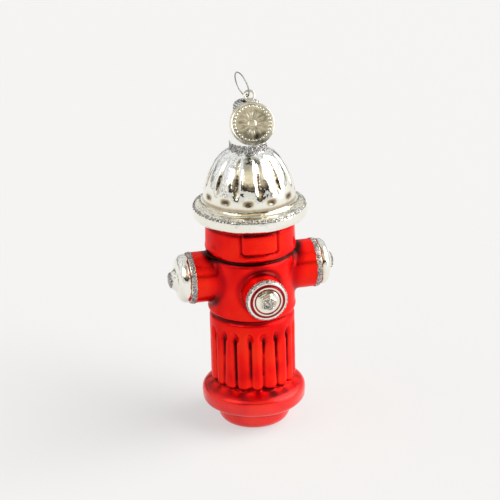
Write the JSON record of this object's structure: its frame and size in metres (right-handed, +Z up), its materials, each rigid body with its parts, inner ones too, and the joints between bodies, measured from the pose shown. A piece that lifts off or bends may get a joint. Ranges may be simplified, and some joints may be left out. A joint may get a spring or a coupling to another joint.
{
  "type": "fire hydrant shaped hanging ornament",
  "caption": "Hanging glass ornament shaped like a fire hydrant: silvered dome and nozzle caps, red lacquered fluted body, metal cap, wire ring and round tag.",
  "frame": {"origin": "centre of the foot's resting face", "axes": "+Z up through the dome and hanger, -Y towards the front nozzle, +X towards the right nozzle as seen from the front"},
  "size_m": [0.0564, 0.0438, 0.1228],
  "materials": {
    "silvered_glass": "mirror bright, silvered inside",
    "silvering": "mirror film",
    "red_lacquer": "translucent metallic satin gloss with dark creases",
    "glitter": "fine silver glitter grains",
    "cap_metal": "stamped, bright",
    "spring_wire": "drawn wire",
    "ring_wire": "drawn wire",
    "tag_metal": "warm polished plate with struck relief"
  },
  "bodies": {
    "glass": {"glass_shell": "silvered_glass", "silver_lining": "silvering", "red_lacquer": "red_lacquer", "neck_glitter_band": "glitter", "brim_glitter_band": "glitter", "left_nozzle_glitter_band": "glitter", "right_nozzle_glitter_band": "glitter", "front_nozzle_glitter_band": "glitter", "left_nut_glitter": "glitter", "right_nut_glitter": "glitter", "front_nut_glitter": "glitter"},
    "clip": {"spring_clip": "spring_wire"},
    "cap": {"hanger_cap": "cap_metal"},
    "ring": {"hang_ring": "ring_wire"},
    "tag": {"medallion": "tag_metal"}
  },
  "joints": [
    {"name": "clip_lift", "type": "slide", "parent": "glass", "child": "clip", "axis": [0, 0, 1], "range_m": [0, 0.0125]},
    {"name": "cap_turn", "type": "hinge", "parent": "clip", "child": "cap", "pos_m": [0, 0, 0.109], "axis": [0, 0, 1], "continuous": true},
    {"name": "ring_swing", "type": "hinge", "parent": "clip", "child": "ring", "pos_m": [0, 0, 0.1145], "axis": [0.0349, -0.9994, 0], "range_deg": [-42, 12]},
    {"name": "tag_swing", "type": "hinge", "parent": "ring", "child": "tag", "pos_m": [0.00009, -0.00303, 0.11579], "axis": [-0.1297, -0.8188, 0.5592], "range_deg": [-50, 50]}
  ]
}
